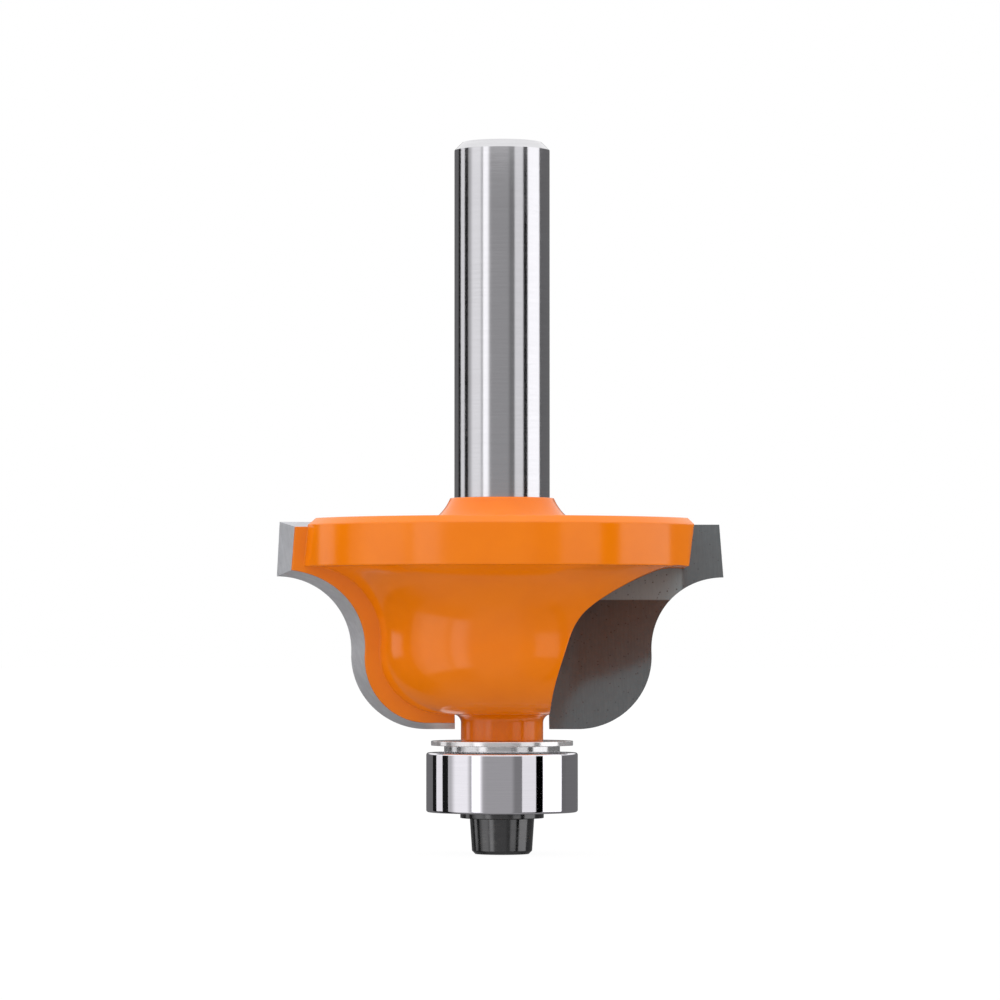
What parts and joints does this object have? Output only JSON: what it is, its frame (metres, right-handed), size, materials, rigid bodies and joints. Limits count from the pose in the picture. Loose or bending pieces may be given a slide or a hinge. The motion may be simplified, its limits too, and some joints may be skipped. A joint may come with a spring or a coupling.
{
  "type": "router bit",
  "caption": "Roman ogee router bit: wide double-fluted profile cutter on a slim straight shank, with a guide bearing held by a cap screw at its free end.",
  "frame": {"origin": "on the bit's axis, in the plane of the bearing screw's free end", "axes": "+Z along the bit's axis, from the bearing screw towards the shank; the blades lie along X, and the rake face of the +X blade looks towards -Y"},
  "size_m": [0.0374, 0.0322, 0.0597],
  "materials": {
    "painted_head": "glossy orange paint",
    "ground_steel": "bright ground steel",
    "carbide": "ground tungsten carbide, grey, finely mottled",
    "bearing_steel": "polished",
    "shield_steel": "satin pressed sheet",
    "black_oxide": "black oxide, half gloss",
    "cage_brass": "satin"
  },
  "bodies": {
    "cutter": {"body": "painted_head", "tip_a": "carbide", "tip_b": "carbide", "spacer_washer": "ground_steel", "inner_ring": "bearing_steel", "screw_washer": "black_oxide", "bearing_screw": "black_oxide"},
    "bearing_rim": {"outer_ring": "bearing_steel", "upper_shield": "shield_steel", "lower_shield": "shield_steel", "upper_snap_ring": "shield_steel", "lower_snap_ring": "shield_steel"},
    "cage": {"bearing_cage": "cage_brass"},
    "ball_1": {"ball_1": "bearing_steel"},
    "ball_2": {"ball_2": "bearing_steel"},
    "ball_3": {"ball_3": "bearing_steel"},
    "ball_4": {"ball_4": "bearing_steel"},
    "ball_5": {"ball_5": "bearing_steel"},
    "ball_6": {"ball_6": "bearing_steel"},
    "ball_7": {"ball_7": "bearing_steel"}
  },
  "joints": [
    {"name": "outer_ring_spin", "type": "hinge", "parent": "cutter", "child": "bearing_rim", "pos_m": [0, 0, 0.00599], "axis": [0, 0, 1], "continuous": true},
    {"name": "cage_spin", "type": "hinge", "parent": "cutter", "child": "cage", "pos_m": [0, 0, 0.00599], "axis": [0, 0, 1], "continuous": true},
    {"name": "ball_1_spin", "type": "hinge", "parent": "cage", "child": "ball_1", "pos_m": [0.00437, 0, 0.00599], "axis": [0, 0, 1], "continuous": true},
    {"name": "ball_2_spin", "type": "hinge", "parent": "cage", "child": "ball_2", "pos_m": [0.00272, 0.00341, 0.00599], "axis": [0, 0, 1], "continuous": true},
    {"name": "ball_3_spin", "type": "hinge", "parent": "cage", "child": "ball_3", "pos_m": [-0.00097, 0.00426, 0.00599], "axis": [0, 0, 1], "continuous": true},
    {"name": "ball_4_spin", "type": "hinge", "parent": "cage", "child": "ball_4", "pos_m": [-0.00393, 0.00189, 0.00599], "axis": [0, 0, 1], "continuous": true},
    {"name": "ball_5_spin", "type": "hinge", "parent": "cage", "child": "ball_5", "pos_m": [-0.00393, -0.00189, 0.00599], "axis": [0, 0, 1], "continuous": true},
    {"name": "ball_6_spin", "type": "hinge", "parent": "cage", "child": "ball_6", "pos_m": [-0.00097, -0.00426, 0.00599], "axis": [0, 0, 1], "continuous": true},
    {"name": "ball_7_spin", "type": "hinge", "parent": "cage", "child": "ball_7", "pos_m": [0.00272, -0.00341, 0.00599], "axis": [0, 0, 1], "continuous": true}
  ],
  "couplings": [
    {"joint": "cage_spin", "follows": "outer_ring_spin", "ratio": 0.63635},
    {"joint": "ball_1_spin", "follows": "outer_ring_spin", "ratio": 1.6972},
    {"joint": "ball_2_spin", "follows": "outer_ring_spin", "ratio": 1.6972},
    {"joint": "ball_3_spin", "follows": "outer_ring_spin", "ratio": 1.6972},
    {"joint": "ball_4_spin", "follows": "outer_ring_spin", "ratio": 1.6972},
    {"joint": "ball_5_spin", "follows": "outer_ring_spin", "ratio": 1.6972},
    {"joint": "ball_6_spin", "follows": "outer_ring_spin", "ratio": 1.6972},
    {"joint": "ball_7_spin", "follows": "outer_ring_spin", "ratio": 1.6972}
  ]
}
